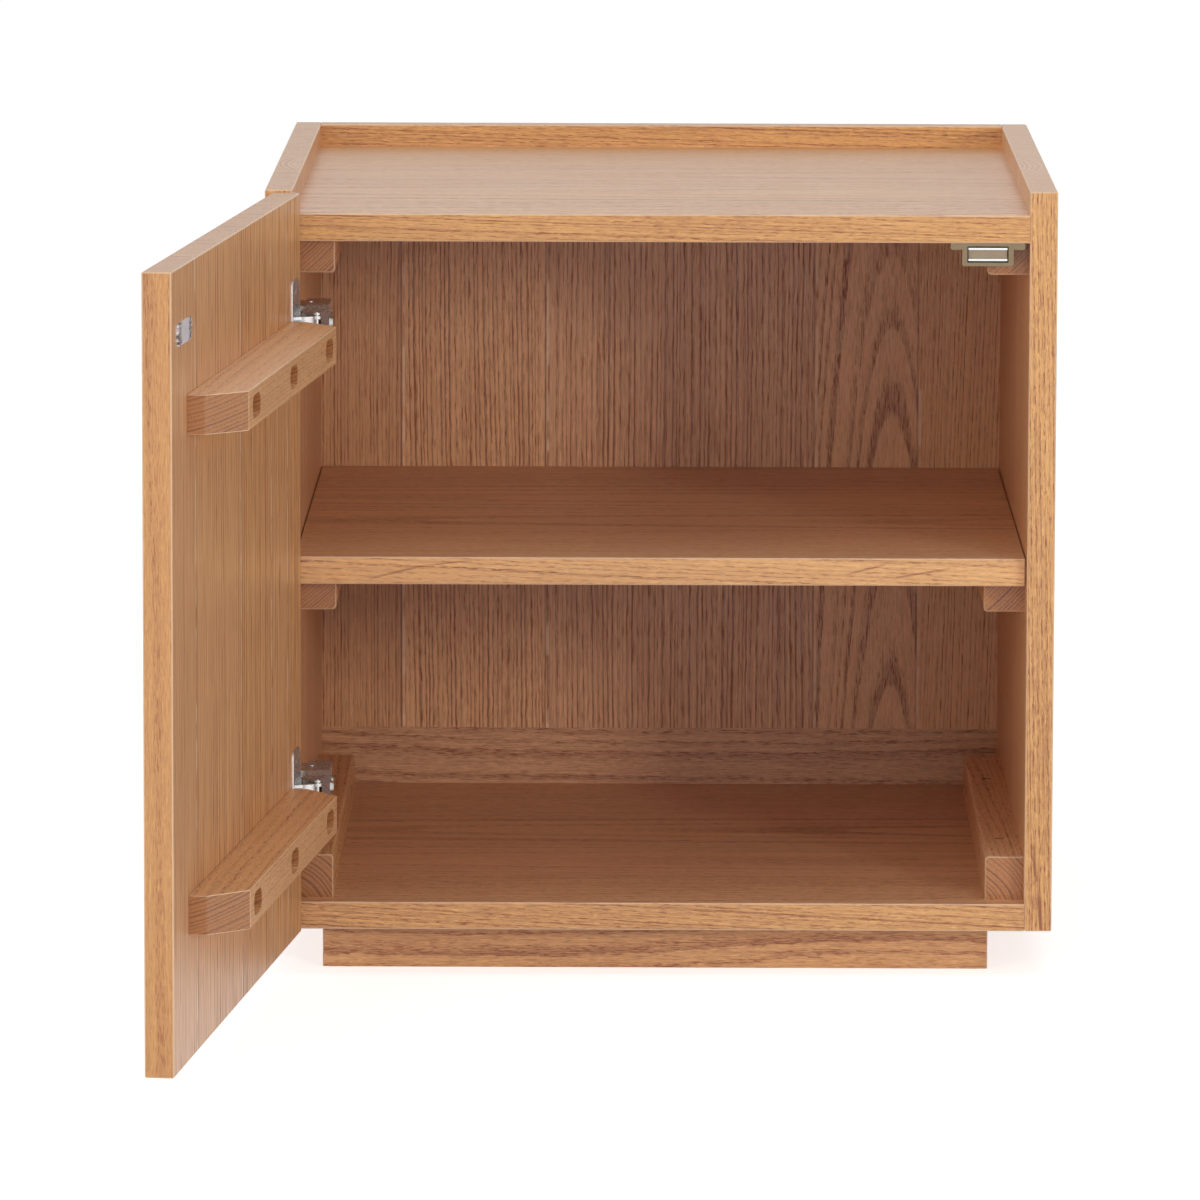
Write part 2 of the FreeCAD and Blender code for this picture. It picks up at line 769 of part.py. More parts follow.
def cup_pins(gap=0):
    """The swing link's pin right across the cup, and a stud in each side wall for the guide link."""
    swing = swing_eye - closed_corner
    guide = guide_eye - closed_corner
    radius = pin_radius + gap
    across = wall_reach(swing) + gap
    outer = wall_reach(guide) + gap
    return [disc(swing, radius, -across, across),
            disc(guide, radius, guide_stud_inner, outer),
            disc(guide, radius, -outer, -guide_stud_inner)]


def add_cup(pieces, name, height):
    """Cup, pins and screws of one hinge. A cup is made lying in plan, so it is turned to the door."""
    to_door = FreeCAD.Placement(V(0, 0, height), FreeCAD.Rotation())
    cup = hinge_cup_in_door()
    pieces["hinge_cup_" + name] = moved(cup.cut(cup_pins(pin_gap)), to_door)
    pieces["cup_pins"] = pieces.get("cup_pins", []) + [moved(pin, to_door) for pin in cup_pins()]
    seat = Part.makeCylinder(cup_radius, cup_depth + cup_hole_gap + overrun,
                             V(cup_centre.x, -cup_depth - cup_hole_gap, height), BACK)
    pieces["door_panel"] = pieces["door_panel"].cut(seat)
    spots = [(V(cup_centre.x + cup_screw_offset, flange_sheet, height + side * cup_screw_spacing / 2),
              BACK) for side in (-1, 1)]
    fasten(pieces, "cup_screws", ("hinge_cup_" + name, "door_panel"), cup_screw, spots)


def hinge_cup_in_door():
    """The cup stood up from plan, with its mouth facing the inside of the cabinet."""
    turn = FreeCAD.Rotation(RIGHT, -90)
    return moved(hinge_cup(), FreeCAD.Placement(V(0, 0, 0), turn))


def moved(shape, placement):
    copy = shape.copy()
    copy.Placement = placement.multiply(copy.Placement)
    return copy


strike_middle = catch_centre + width / 2 - door_reveal
strike_low = side_height - strike_top_drop


def strike_plate():
    """Thin plate opposite the catch, with rounded corners."""
    plate = box(strike_middle - strike_length / 2, strike_middle + strike_length / 2, 0, strike_sheet,
                strike_low, strike_low + strike_height)
    return eased(plate, strike_corner, edges_along(plate, BACK))


def add_strike(pieces):
    pieces["strike_plate"] = strike_plate()
    reach = strike_length / 2 - strike_screw_inset
    spots = [(V(strike_middle + side * reach, strike_sheet, strike_low + strike_height / 2), BACK)
             for side in (-1, 1)]
    fasten(pieces, "strike_screws", ("strike_plate", "door_panel"), strike_screw, spots)


def door_pieces():
    pieces = {"door_panel": door_panel()}
    for name, low in (("lower", door_batten_low), ("upper", side_height - door_batten_top_drop)):
        batten = "door_batten_" + name
        pieces[batten] = door_batten(low)
        head = door_batten_proud - slot_depth
        spots = [(V(x, head, low + door_batten_height / 2), BACK) for x in slot_places()]
        fasten(pieces, "door_batten_screws", (batten, "door_panel"), slot_screw, spots)
    for name, height in hinges.items():
        add_cup(pieces, name, height)
    add_strike(pieces)
    return pieces


# Poses at rest, with the door open

swing_closed_angle = math.degrees(math.atan2(swing_eye.y - swing_pivot.y, swing_eye.x - swing_pivot.x))


def plan_pose(point, degrees, height=0):
    """Placement in the cabinet frame from a place in plan and a turn about the vertical."""
    return FreeCAD.Placement(V(inner_left + point.x, point.y, height), FreeCAD.Rotation(UP, degrees))


def open_corner():
    """Where the swing link leaves the door's inner hinge corner when the door is open."""
    eye = swing_pivot + turned(swing_eye - swing_pivot, swing_turn)
    return eye - turned(swing_eye - closed_corner, -door_open_angle)


def link_pieces():
    corner = open_corner()
    eye = corner + turned(guide_eye - closed_corner, -door_open_angle)
    pieces = {}
    for name, height in hinges.items():
        swing_pose = plan_pose(swing_pivot, swing_closed_angle + swing_turn, height)
        guide_pose = plan_pose(eye, guide_closed_angle + guide_turn, height)
        pieces["swing_link_" + name] = moved(swing_link(), swing_pose)
        pieces["guide_link_" + name] = moved(guide_link(), guide_pose)
    return pieces


# Assembly

def carcass_pieces():
    pieces = carcass_boards()
    pieces.update(cleats())
    pieces.update(plinth())
    add_dowels(pieces)
    add_cleat_screws(pieces)
    add_plinth_blocks(pieces)
    add_catch(pieces)
    for name, height in hinges.items():
        add_hinge_fixed_half(pieces, name, height)
    return pieces


def as_one(piece):
    return Part.makeCompound(piece) if isinstance(piece, list) else piece


def save(pieces, pose):
    for name, piece in pieces.items():
        moved(as_one(piece), pose).exportStep("parts/" + name + ".step")


os.makedirs("parts", exist_ok=True)
to_floor = FreeCAD.Placement(V(0, -plinth_setback - board / 2, plinth_height), FreeCAD.Rotation())
save(carcass_pieces(), to_floor)
save(link_pieces(), to_floor)
save(door_pieces(), to_floor.multiply(plan_pose(open_corner(), -door_open_angle)))
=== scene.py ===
"""Looks of the oak nightstand: materials, small added details, floor, light and camera."""

import functools
import json
import math
from collections import namedtuple

import bmesh
import bpy
import numpy as np
from mathutils import Matrix, Vector


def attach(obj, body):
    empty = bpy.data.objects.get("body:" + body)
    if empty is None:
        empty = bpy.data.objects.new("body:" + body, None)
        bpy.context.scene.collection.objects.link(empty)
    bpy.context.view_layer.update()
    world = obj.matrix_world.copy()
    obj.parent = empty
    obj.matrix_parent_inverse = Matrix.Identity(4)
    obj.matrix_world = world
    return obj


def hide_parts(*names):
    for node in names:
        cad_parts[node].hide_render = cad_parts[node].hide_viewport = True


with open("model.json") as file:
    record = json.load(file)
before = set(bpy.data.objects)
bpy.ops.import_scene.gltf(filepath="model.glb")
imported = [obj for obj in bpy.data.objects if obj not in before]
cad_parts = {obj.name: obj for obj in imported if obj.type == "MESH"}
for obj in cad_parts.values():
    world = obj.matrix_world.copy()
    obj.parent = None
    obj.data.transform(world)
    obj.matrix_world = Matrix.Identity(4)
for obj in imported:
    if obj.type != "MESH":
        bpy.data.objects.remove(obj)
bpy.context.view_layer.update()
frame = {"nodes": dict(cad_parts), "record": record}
nodes = frame["nodes"]

MM_PER_M = 1000
FRONT = (0, -1, 0)  # the way the cabinet faces
DOOR_TURN = math.radians(-96.3)  # from closed to the photograph's open door
DOOR_CORNER = Vector((-227.562, -47.712, 0))  # mm: the door's inner corner at the hinge edge


def linear(*srgb):
    """Linear RGBA of a colour given in 0 to 255."""
    tones = [c / 255 for c in srgb]
    return [c / 12.92 if c <= 0.04045 else ((c + 0.055) / 1.055) ** 2.4 for c in tones] + [1.0]


def darker(colour, share):
    """The colour at this share of its brightness."""
    return [c * share for c in colour[:3]] + [1.0]


# Node helpers

class Nodes:
    """Short ways to add and join shader nodes in one tree. A value is a number or another node's output."""

    def __init__(self, tree):
        self.tree = tree

    def add(self, kind, settings=None, **inputs):
        node = self.tree.nodes.new(kind)
        for key, value in (settings or {}).items():
            setattr(node, key, value)
        self.fill(node, **inputs)
        return node

    def fill(self, node, **inputs):
        """Feed inputs by name, with _ for each space."""
        for key, value in inputs.items():
            self.feed(node.inputs[key.replace("_", " ")], value)

    def feed(self, socket, value):
        if isinstance(value, bpy.types.NodeSocket):
            self.tree.links.new(value, socket)
        else:
            socket.default_value = value

    def math(self, operation, *values, clamp=False):
        node = self.add("ShaderNodeMath", {"operation": operation, "use_clamp": clamp})
        for socket, value in zip(node.inputs, values):
            self.feed(socket, value)
        return node.outputs[0]

    def total(self, *values, clamp=False):
        so_far = functools.reduce(lambda first, second: self.math("ADD", first, second), values[:-1])
        return self.math("ADD", so_far, values[-1], clamp=clamp)

    def product(self, *values):
        return functools.reduce(lambda first, second: self.math("MULTIPLY", first, second), values)

    def largest(self, values):
        """The largest of the values, or zero if there is none."""
        if not values:
            return 0.0
        return functools.reduce(lambda first, second: self.math("MAXIMUM", first, second), values)

    def vector(self, operation, *values):
        node = self.add("ShaderNodeVectorMath", {"operation": operation})
        for socket, value in zip(node.inputs, values):
            self.feed(socket, value)
        return node.outputs["Value" if operation in ("DOT_PRODUCT", "LENGTH") else "Vector"]

    def scaled(self, vector, factor):
        node = self.add("ShaderNodeVectorMath", {"operation": "SCALE"}, Scale=factor)
        self.feed(node.inputs[0], vector)
        return node.outputs["Vector"]

    def parts(self, vector):
        return self.add("ShaderNodeSeparateXYZ", None, Vector=vector).outputs

    def joined(self, x, y, z):
        return self.add("ShaderNodeCombineXYZ", None, X=x, Y=y, Z=z).outputs[0]

    def ramp(self, value, low, high, to_low=0.0, to_high=1.0):
        """Smooth step of value from low to high."""
        node = self.add("ShaderNodeMapRange", {"interpolation_type": "SMOOTHSTEP"},
                        Value=value, From_Min=low, From_Max=high, To_Min=to_low, To_Max=to_high)
        return node.outputs["Result"]

    def noise(self, point, scale, detail=2.0, roughness=0.5):
        node = self.add("ShaderNodeTexNoise", None, Vector=point, Scale=scale, Detail=detail,
                        Roughness=roughness)
        return node.outputs["Fac"]

    def grain(self, point, sizes, detail=2.0, roughness=0.5):
        """Noise with features of these sizes along the three axes of the point."""
        stretched = self.vector("MULTIPLY", point, tuple(1 / size for size in sizes))
        return self.noise(stretched, 1.0, detail, roughness)

    def centred(self, noise):
        return self.math("SUBTRACT", noise, 0.5)

    def mix(self, factor, first, second):
        node = self.add("ShaderNodeMix", {"data_type": "RGBA"})
        for k, value in ((0, factor), (6, first), (7, second)):
            self.feed(node.inputs[k], value)
        return node.outputs[2]

    def bump(self, strength, distance, height):
        return self.add("ShaderNodeBump", None, Strength=strength, Distance=distance,
                        Height=height).outputs[0]

    def seen(self):
        """One for what the camera sees, itself or in a reflection, and zero for light cast on things."""
        path = self.add("ShaderNodeLightPath").outputs
        return self.math("ADD", path["Is Camera Ray"], path["Is Glossy Ray"], clamp=True)


def group_tree(name, inputs, outputs):
    """A node group with these sockets, each a label and a kind, and its inner inputs and outputs."""
    tree = bpy.data.node_groups.new(name, "ShaderNodeTree")
    for direction, sockets in (("INPUT", inputs), ("OUTPUT", outputs)):
        for label, kind in sockets:
            tree.interface.new_socket(label, in_out=direction, socket_type="NodeSocket" + kind)
    return tree, tree.nodes.new("NodeGroupInput").outputs, tree.nodes.new("NodeGroupOutput").inputs


def blank_material(name):
    """A new material, the helper for its nodes and its shader."""
    material = bpy.data.materials.new(name)
    material.use_nodes = True
    material.node_tree.nodes.clear()
    n = Nodes(material.node_tree)
    shader = n.add("ShaderNodeBsdfPrincipled")
    output = n.add("ShaderNodeOutputMaterial")
    n.tree.links.new(shader.outputs[0], output.inputs[0])
    return material, n, shader


# Oak

PALE = linear(240, 190, 146)
GOLDEN = linear(242, 184, 110)
DARK = linear(150, 86, 50)
END_PALE = linear(178, 114, 62)
END_DARK = linear(106, 60, 32)
# Pale colour for seams, and for the painted highlight on chamfered edges
PALE_SEAM_AND_HIGHLIGHT = linear(250, 220, 184)

# Sizes of the wood's traits in mm, across, in depth and along the board
BENDS = (60, 60, 420)
RIPPLES = (5, 5, 17)
PORES = (0.72, 0.72, 7.5)
GLINTS = (0.8, 1.0, 9)
FIBRES = (0.8, 0.8, 38)
BANDS = (3.4, 3.4, 190)
CLOUDS = (24, 24, 210)
SEAM_BREAKS = (30, 30, 24)

SEED_SHIFT = (173.0, 91.0, 417.0)  # mm that a board moves in the noise for each unit of its seed
END_GRAIN = (0.5, 0.65)  # how squarely a face looks along the grain before end grain shows
FRONT_SHADE_FACING = (0.8, 0.95)  # how squarely a face looks forward before it gets the painted shade of a front edge
FRONT_PAINTED_GOLD = 0.7  # more gold in the front edges, part of their painted shade
ROUNDED = (0.715, 0.732)  # largest part of the normal, from the middle to the end of a chamfer with a painted highlight

# How far noise bends the rings, in mm, and how unevenly the years follow each other, in rings
BEND_ACROSS, RIPPLE_ACROSS, BEND_DEPTH = 10.0, 3.0, 2.0
UNEVEN_YEARS = 1.6

# Shares of a ring over which its early wood appears and fades
EARLY_APPEARS, EARLY_FADES = (0.0, 0.1), (0.16, 0.62)

# Levels of the noise between which pores and glints show, and seams break up
PORE_LEVELS, GLINT_LEVELS, BREAK_LEVELS = (0.5, 0.63), (0.54, 0.68), (0.4, 0.58)

# Weights in the darkness of the wood, and how dark plain wood is
DASH_DARK, FIBRE_DARK, BAND_DARK, GLINT_DARK, CLOUD_DARK, MARK_DARK = 0.6, 0.85, 0.4, -0.24, 0.3, 0.5
PLAIN_DARK = 0.3
FIGURE_MIDDLE = 0.14  # taken off the figure, so that contrast leaves the mean tone alone

# Shares of the pale colour in a seam, and of the painted highlight on a chamfered edge
SEAM_PALE, EDGE_HIGHLIGHT = 0.75, 0.45


def oak_group():
    """Solid oak. The point is across, depth and along the board in mm, and the pith is a line beside it."""
    vectors = ("Point", "Coarse")
    numbers = ("Facing", "Seed", "Pith across", "Pith depth", "Ring", "Lean", "Wave", "Contrast",
               "Tone", "Gold", "End", "Ring lines", "Mark", "Seam", "Edge")
    tree, i, o = group_tree(
        "oak", [(label, "Vector") for label in vectors] + [(label, "Float") for label in numbers],
        [("Color", "Color"), ("Roughness", "Float"), ("Height", "Float")])
    n = Nodes(tree)
    shift = n.joined(*(n.product(i["Seed"], size) for size in SEED_SHIFT))
    point = n.vector("ADD", i["Point"], shift)

    # Rings around the pith, bent by slow and quick noise
    across, depth, along = n.parts(i["Point"])
    bends = n.centred(n.grain(point, BENDS, detail=1.0))
    ripples = n.centred(n.grain(point, RIPPLES))
    wave = n.total(n.product(bends, BEND_ACROSS), n.product(ripples, n.product(i["Wave"], RIPPLE_ACROSS)))
    x = n.total(n.math("SUBTRACT", across, i["Pith across"]), wave)
    y = n.total(n.math("SUBTRACT", depth, i["Pith depth"]),
                n.total(n.product(along, i["Lean"]), n.product(bends, BEND_DEPTH)))
    radius = n.math("SQRT", n.total(n.product(x, x), n.product(y, y)))
    rings = n.math("DIVIDE", radius, i["Ring"])
    uneven = n.add("ShaderNodeTexNoise", {"noise_dimensions": "1D"}, Scale=0.3, Detail=1.0,
                   W=n.total(rings, n.product(i["Seed"], 31.0))).outputs["Fac"]
    rings = n.total(rings, n.product(uneven, UNEVEN_YEARS))

    # The porous early wood of each year, stronger in some years
    age = n.math("FRACT", rings)
    early = n.product(n.ramp(age, *EARLY_APPEARS), n.ramp(age, *EARLY_FADES, 1.0, 0.0))
    year = n.add("ShaderNodeTexWhiteNoise", {"noise_dimensions": "1D"}, W=n.math("FLOOR", rings))
    early = n.product(early, n.math("MULTIPLY_ADD", year.outputs["Value"], 0.9, 0.4))

    grown = n.vector("DIVIDE", n.vector("ADD", n.joined(x, y, along), shift), i["Coarse"])
    pores = n.ramp(n.grain(grown, PORES, roughness=0.55), *PORE_LEVELS)
    glints = n.ramp(n.grain(grown, GLINTS, roughness=0.6), *GLINT_LEVELS)
    fibres = n.centred(n.grain(grown, FIBRES, detail=3.0, roughness=0.7))
    bands = n.centred(n.grain(grown, BANDS))
    cloud = n.centred(n.grain(point, CLOUDS))
    dashes = n.product(pores, n.math("MULTIPLY_ADD", early, 0.6, 0.4))

    figure = n.total(n.product(early, i["Ring lines"]), n.product(dashes, DASH_DARK),
                     n.product(fibres, FIBRE_DARK), n.product(bands, BAND_DARK),
                     n.product(glints, GLINT_DARK), -FIGURE_MIDDLE)
    dark = n.total(n.product(figure, i["Contrast"]), n.product(cloud, CLOUD_DARK), PLAIN_DARK, i["Tone"],
                   n.product(i["Mark"], MARK_DARK), clamp=True)
    colour = n.mix(dark, n.mix(i["Gold"], PALE, GOLDEN), DARK)
    spots = n.total(n.product(early, 0.75), n.product(pores, 0.35), clamp=True)
    end = n.product(n.ramp(i["Facing"], *END_GRAIN), i["End"])
    colour = n.mix(end, colour, n.mix(spots, END_PALE, END_DARK))
    colour = n.mix(n.product(i["Seam"], SEAM_PALE), colour, PALE_SEAM_AND_HIGHLIGHT)
    # Chamfered edges are lightened: a painted highlight
    n.feed(o["Color"], n.mix(n.product(i["Edge"], EDGE_HIGHLIGHT), colour, PALE_SEAM_AND_HIGHLIGHT))
    n.feed(o["Roughness"], n.total(n.product(dashes, 0.18), n.product(fibres, 0.2), 0.36))
    n.feed(o["Height"], n.total(n.product(fibres, 0.3), n.product(dashes, -0.8)))
    return tree


OAK = oak_group()
STAVE_SEED = 0.37  # added to the seed for each next stave of a board
MARK_ENDS = 0.4  # strength of a mark at its two ends

# For each way a board can lie, its axes across, in depth and along the grain
ORDERS = {"X": ("Y", "Z", "X"), "Y": ("X", "Z", "Y"), "Z": ("X", "Y", "Z"), "Zside": ("Y", "X", "Z")}

Stave = namedtuple("Stave", "far_edge pith_across pith_depth ring lean wave contrast tone gold")


def staged(n, across, seams, values):
    """A value for each stave between the seams."""
    if len(set(values)) == 1:
        return values[0]
    steps = [n.product(n.math("GREATER_THAN", across, seam), after - before)
             for seam, before, after in zip(seams, values, values[1:])]
    return n.total(*steps, values[0])


def near_line(n, point, start, end, width):
    """One near the straight mark from start to end, in mm of the board, and zero away from it."""
    ahead = Vector(end) - Vector(start)
    reach = ahead.length
    gone = n.vector("SUBTRACT", point, start)
    share = n.math("DIVIDE", n.vector("DOT_PRODUCT", gone, tuple(ahead / reach)), reach, clamp=True)
    apart = n.vector("LENGTH", n.vector("SUBTRACT", gone, n.scaled(ahead, share)))
    taper = n.product(share, n.math("SUBTRACT", 1.0, share), 4.0)
    strength = n.math("MULTIPLY_ADD", taper, 1.0 - MARK_ENDS, MARK_ENDS)
    return n.product(n.ramp(apart, 0.3 * width, width, 1.0, 0.0), strength)


def oak(name, along, seed, staves, in_door=False, marks=(), end=0.9, coarse=(1, 1, 1), ring_lines=0.28,
        seam_width=0.7, front=0.13):
    """Oak board made of staves, with its grain along an axis and listed marks.

    A mark is a start, an end and a width in mm of the board. The other values are the share of end grain
    colour, the grain's coarseness across, in depth and along, the weight of its yearly lines, the width
    of its seams in mm, and how much darker its front edge is painted, a painted shade.
    """
    material, n, shader = blank_material(name)
    place = n.add("ShaderNodeTexCoord").outputs
    turn = -DOOR_TURN if in_door else 0.0
    corner = DOOR_CORNER if in_door else Vector((0, 0, 0))
    turned = Matrix.Rotation(turn, 3, "Z") @ corner
    point = n.add("ShaderNodeMapping", None, Vector=place["Object"], Scale=(MM_PER_M,) * 3,
                  Rotation=(0, 0, turn), Location=-turned).outputs[0]
    normal = n.add("ShaderNodeMapping", {"vector_type": "NORMAL"}, Vector=place["Normal"],
                   Rotation=(0, 0, turn)).outputs[0]
    places, sides = n.parts(point), n.parts(normal)
    across, depth, length = (places[axis] for axis in ORDERS[along])
    board = n.joined(across, depth, length)
    facing = n.math("ABSOLUTE", sides[ORDERS[along][2]])

    # The door's broad figure is for its inner face, which is seen at a slant; its other faces are finer
    bold = n.ramp(sides["Y"], *END_GRAIN) if in_door and along == "Z" else 1.0
    coarser = n.scaled([share - 1.0 for share in coarse], bold)

    staves = [Stave(*values) for values in staves]
    seams = [stave.far_edge for stave in staves[:-1]]

    def by_stave(trait):
        return staged(n, across, seams, [getattr(stave, trait) for stave in staves])

    ahead = n.vector("DOT_PRODUCT", place["Normal"], FRONT)
    group = n.add("ShaderNodeGroup", {"node_tree": OAK}, Point=board, Facing=facing, End=end,
                  Seed=staged(n, across, seams, [seed + STAVE_SEED * k for k in range(len(staves))]),
                  Coarse=n.vector("ADD", coarser, (1.0, 1.0, 1.0)), Ring_lines=ring_lines,
                  # Edge picks out the chamfers for their painted highlight
                  Edge=n.ramp(n.largest(list(n.parts(n.vector("ABSOLUTE", normal)))), *ROUNDED, 1.0, 0.0),
                  Pith_across=by_stave("pith_across"), Pith_depth=by_stave("pith_depth"),
                  Ring=by_stave("ring"), Lean=by_stave("lean"), Wave=by_stave("wave"),
                  Contrast=by_stave("contrast"),
                  # Faces that look forward are painted darker and more golden: a painted shade on the front
                  # edges
                  Tone=n.total(n.ramp(ahead, *FRONT_SHADE_FACING, 0.0, front), by_stave("tone")),
                  Gold=n.total(n.ramp(ahead, *FRONT_SHADE_FACING, 0.0, FRONT_PAINTED_GOLD), by_stave("gold"), clamp=True))

    def strip(seam, offset, inner, outer):
        """One on a strip beside a seam, fading out between two distances, all in widths of the seam."""
        away = n.math("ABSOLUTE", n.math("SUBTRACT", across, seam + offset * seam_width))
        return n.ramp(away, inner * seam_width, outer * seam_width, 1.0, 0.0)

    pale = n.largest([strip(seam, 0.7, 0.3, 1.0) for seam in seams])
    dark = n.largest([strip(seam, -0.5, 0.2, 0.7) for seam in seams]
                     + [near_line(n, board, *mark) for mark in marks])
    if seams:
        broken = n.ramp(n.grain(board, SEAM_BREAKS), *BREAK_LEVELS)
        shown = n.product(n.ramp(facing, *END_GRAIN, 1.0, 0.3), n.math("MULTIPLY_ADD", bold, 0.75, 0.25))
        n.fill(group, Seam=n.product(pale, broken, shown))
        dark = n.product(dark, shown)
    n.fill(group, Mark=dark)
    n.fill(shader, Base_Color=group.outputs["Color"], Roughness=group.outputs["Roughness"],
           Normal=n.bump(strength=0.35, distance=0.0003, height=group.outputs["Height"]),
           Specular_IOR_Level=0.8)
    return material


def dress(node, material):
    """Give a CAD piece one finish all over."""
    for slot in nodes[node].material_slots:
        slot.material = material


LAST = 999  # mm: the last stave reaches the board's edge

# Each board's grain axis, seed and staves, in the order of Stave's fields, with lengths in mm
WOOD = {
    "back_panel": ("Z", 1.3, [(-177, -520, 400, 2.6, 0.02, 0.3, 0.8, -0.06, -0.3),
                              (-78, -620, 520, 3.1, -0.05, 0.45, 1.2, -0.13, -0.35),
                              (106, -720, 400, 3.6, 0.01, 0.4, 1.1, -0.02, -0.5),
                              (177, 158, 462, 4.5, -0.063, 0.35, 1.0, -0.18, -0.4),
                              (LAST, 520, 300, 2.6, 0.06, 0.3, 0.8, -0.28, -0.2)]),
    "lower_back_rail": ("X", 2.1, [(LAST, -240, 300, 3.6, 0.01, 0.5, 1.0, 0.09, -0.5)]),
    "gallery_rail": ("X", 2.9, [(LAST, 380, 640, 2.6, 0.03, 0.9, 1.0, 0.07, 0.3)]),
    "top_panel": ("X", 3.7, [(40, -60, 640, 2.6, 0.03, 1.0, 0.9, 0.0, 0.3),
                             (160, 110, 300, 3.4, -0.01, 0.4, 0.6, 0.0, 0.3),
                             (280, 230, 660, 3.8, 0.01, 0.4, 0.6, 0.03, 0.3),
                             (LAST, 560, 420, 3.0, 0.01, 0.3, 0.6, 0.0, 0.3)]),
    "shelf": ("X", 4.4, [(95, -90, 330, 2.6, 0.04, 0.8, 0.8, -0.12, 0.0),
                         (215, 150, 120, 3.4, -0.01, 0.4, 1.0, -0.08, 0.0),
                         (330, 270, 420, 3.8, 0.01, 0.4, 1.0, -0.13, 0.0),
                         (LAST, 580, 200, 3.0, 0.01, 0.3, 1.0, -0.1, 0.0)]),
    "bottom_panel": ("X", 5.2, [(60, -110, 190, 2.6, 0.05, 0.9, 1.1, 0.02, 0.1),
                                (170, 120, -80, 3.4, -0.01, 0.4, 0.9, -0.05, 0.0),
                                (300, 240, 210, 3.8, 0.01, 0.4, 0.9, 0.0, 0.0),
                                (LAST, 580, -40, 3.0, 0.01, 0.3, 0.9, -0.03, 0.0)]),
    "side_left": ("Zside", 6.3, [(80, -140, -330, 2.8, 0.02, 0.5, 0.9, 0.0, 0.2),
                                 (200, 140, -90, 3.6, 0.01, 0.5, 0.9, -0.05, 0.1),
                                 (330, 420, -330, 3.2, -0.01, 0.4, 0.9, -0.02, 0.1),
                                 (LAST, 620, -140, 3.2, 0.01, 0.4, 0.9, -0.04, 0.1)]),
    # The right side's staves are painted lighter than the left's: painted light on its shaded inner face
    "side_right": ("Zside", 7.7, [(75, -60, 300, 2.6, 0.02, 1.2, 1.2, -0.2, 0.2),
                                  (205, 140, 90, 3.6, 0.01, 0.5, 0.9, -0.25, 0.0),
                                  (340, 420, 330, 3.2, -0.01, 0.4, 0.9, -0.25, 0.0),
                                  (LAST, 620, 140, 3.2, 0.01, 0.4, 0.9, -0.25, 0.0)]),
    "plinth_front": ("X", 8.8, [(LAST, -300, -60, 2.6, 0.01, 0.6, 1.1, 0.03, -0.1)]),
    "plinth_back": ("X", 9.3, [(LAST, 160, -60, 2.6, 0.01, 0.6, 1.1, 0.09, 0.3)]),
    "plinth_left": ("Y", 10.1, [(LAST, -440, -20, 2.6, 0.01, 0.6, 1.1, 0.09, 0.3)]),
    "plinth_right": ("Y", 10.9, [(LAST, 460, -20, 2.6, 0.01, 0.6, 1.1, 0.09, 0.3)]),
    "plinth_blocks": ("Z", 11.4, [(LAST, 40, 120, 3.0, 0.02, 0.6, 1.0, 0.1, 0.3)]),
    "back_dowels": ("X", 12.2, [(LAST, 400, 80, 3.0, 0.0, 0.4, 0.8, 0.0, 0.3)]),
    "top_cleat_left": ("Y", 13.1, [(LAST, -425, 660, 2.0, 0.02, 0.4, 1.0, 0.06, 0.2)]),
    "top_cleat_right": ("Y", 13.9, [(LAST, 20, 660, 2.0, 0.02, 0.4, 1.0, 0.06, 0.2)]),
    "shelf_cleat_left": ("Y", 14.6, [(LAST, -380, 430, 2.0, 0.02, 0.4, 1.0, 0.06, 0.2)]),
    "shelf_cleat_right": ("Y", 15.4, [(LAST, 60, 400, 2.0, 0.02, 0.4, 1.0, 0.06, 0.2)]),
    "bottom_batten_left": ("Y", 16.2, [(LAST, -245, 30, 2.8, 0.02, 0.4, 1.0, 0.03, 0.5)]),
    "bottom_batten_right": ("Y", 17.0, [(LAST, 180, 30, 2.6, 0.02, 0.4, 1.0, -0.13, 0.0)]),
}

# The door's boards, whose places are from the door's corner, as if the door were closed
DOOR_WOOD = {
    "door_panel": ("Z", 18.2, [(53, -260, -20, 6.5, 0.02, 0.5, 1.2, 0.06, 0.5),
                               (119, 620, -80, 7.0, 0.01, 0.4, 0.9, 0.01, 0.4),
                               (240, -280, -60, 7.0, 0.01, 0.4, 1.1, 0.08, 0.5),
                               (411, 920, 40, 8.0, 0.01, 0.4, 0.9, 0.03, 0.4),
                               (LAST, 300, -160, 6.5, 0.01, 0.6, 0.6, 0.08, 0.3)]),
    "door_batten_lower": ("X", 19.1, [(LAST, -60, 330, 2.4, 0.003, 0.5, 0.7, 0.0, 0.3)]),
    "door_batten_upper": ("X", 19.8, [(LAST, -60, 640, 2.4, 0.003, 0.5, 0.7, -0.05, 0.3)]),
}

# Boards that differ from the usual values of oak(). The ends of the sides and the door are sealed and pale
# front: how much darker the front edges are painted, a painted shade
SPECIAL = {
    "side_left": {"end": 0.2},
    # The right side's front edge is painted darker again, to offset the painted light of its staves there
    "side_right": {"end": 0.2, "front": 0.4},
    "door_panel": {"end": 0.25, "coarse": (2.0, 2.0, 5.0), "seam_width": 2.6, "front": 0.24},
    "back_panel": {"coarse": (1, 1, 1.8), "ring_lines": 0.5, "seam_width": 1.4},
    "bottom_panel": {"front": 0.2},
    "top_panel": {"front": 0.2},
}


def edge_marks(y, *marks):
    """Dark marks in a front edge at this y. Each goes from one place in the edge to another, in mm."""
    return [((y, *start), (y, *end), width) for start, end, width in marks]


